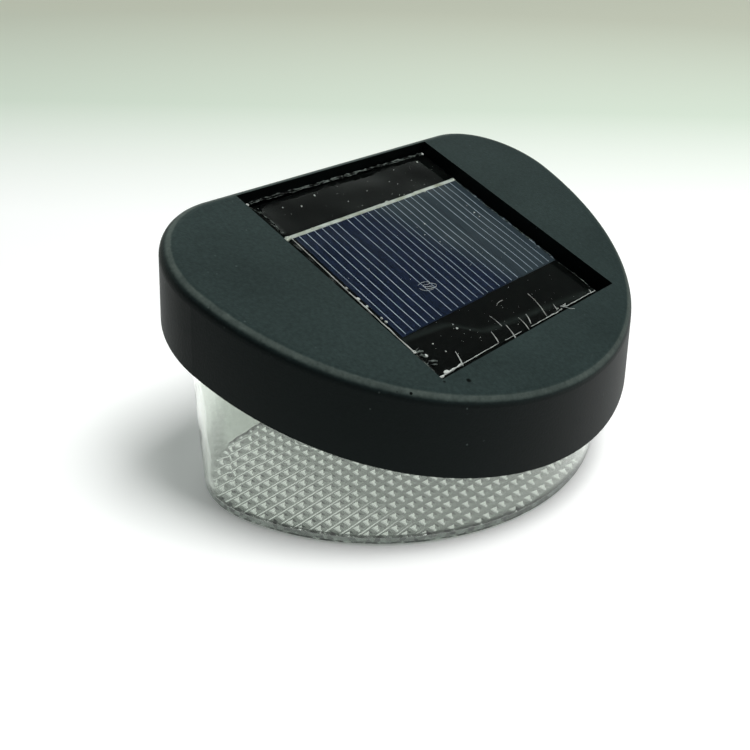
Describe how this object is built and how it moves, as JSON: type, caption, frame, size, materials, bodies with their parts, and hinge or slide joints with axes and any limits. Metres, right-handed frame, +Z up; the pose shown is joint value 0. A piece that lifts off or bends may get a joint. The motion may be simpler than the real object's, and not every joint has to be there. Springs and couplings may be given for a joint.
{
  "type": "solar fence light",
  "caption": "Solar fence light: black cap with a sloping roof and an inset solar panel, lifting off a clear D-shaped cup with a battery bay, lamps and a slide switch inside.",
  "frame": {"origin": "centre of the bounding box on the ground, under the middle of the light; the cup stands on it", "axes": "+X along the fence to the right, +Y towards the fence (back), +Z up"},
  "size_m": [0.1156, 0.075, 0.058],
  "materials": {
    "black_abs": "moulded, fine matte texture",
    "inner_abs": "moulded, smooth matte",
    "screw_steel": "zinc plated",
    "battery_sleeve": "printed sleeve on a thin can, left plain",
    "contact_nickel": "nickel plated spring steel",
    "clear_styrene": "clear, polished, with pressed pyramids on the floor",
    "panel_glue": "cured glue",
    "board_black": "black solder resist",
    "cell_blue": "silicon with printed silver fingers",
    "tinned_ribbon": "tinned copper, soldered",
    "clear_resin": "clear poured resin, ragged at its edges",
    "circuit_green": "solder resist",
    "chip_black": "moulded epoxy",
    "coil_sleeve": "lacquered",
    "switch_steel": "tin plated",
    "knob_abs": "moulded",
    "wire_red": "soft insulation",
    "wire_black": "soft insulation",
    "wire_grey": "soft insulation",
    "led_epoxy": "clear epoxy lamp"
  },
  "bodies": {
    "cup": {"lens_cup": "clear_styrene"},
    "cap": {"cap_housing": "black_abs", "base_plate": "inner_abs", "base_plate_screws": "screw_steel", "battery_cell": "battery_sleeve", "battery_spring": "contact_nickel", "panel_glue": "panel_glue", "solar_board": "board_black", "solar_cells": "cell_blue", "cell_ribbons": "tinned_ribbon", "panel_resin": "clear_resin", "circuit_board": "circuit_green", "controller_chip": "chip_black", "inductor": "coil_sleeve", "switch_housing": "switch_steel", "battery_cover": "inner_abs", "battery_cover_screws": "screw_steel", "panel_wire_red": "wire_red", "panel_wire_black": "wire_black", "battery_wire_red": "wire_red", "battery_wire_black": "wire_black", "led_right": "led_epoxy", "led_left": "led_epoxy", "switch_leads": "wire_grey", "plus_contact": "contact_nickel", "minus_contact": "contact_nickel"},
    "knob": {"switch_knob": "knob_abs"}
  },
  "joints": [
    {"name": "cap_lift", "type": "slide", "parent": "cup", "child": "cap", "axis": [0, 0, 1], "range_m": [0, 0.06]},
    {"name": "knob_slide", "type": "slide", "parent": "cap", "child": "knob", "axis": [1, 0, 0], "range_m": [0, 0.002]}
  ]
}
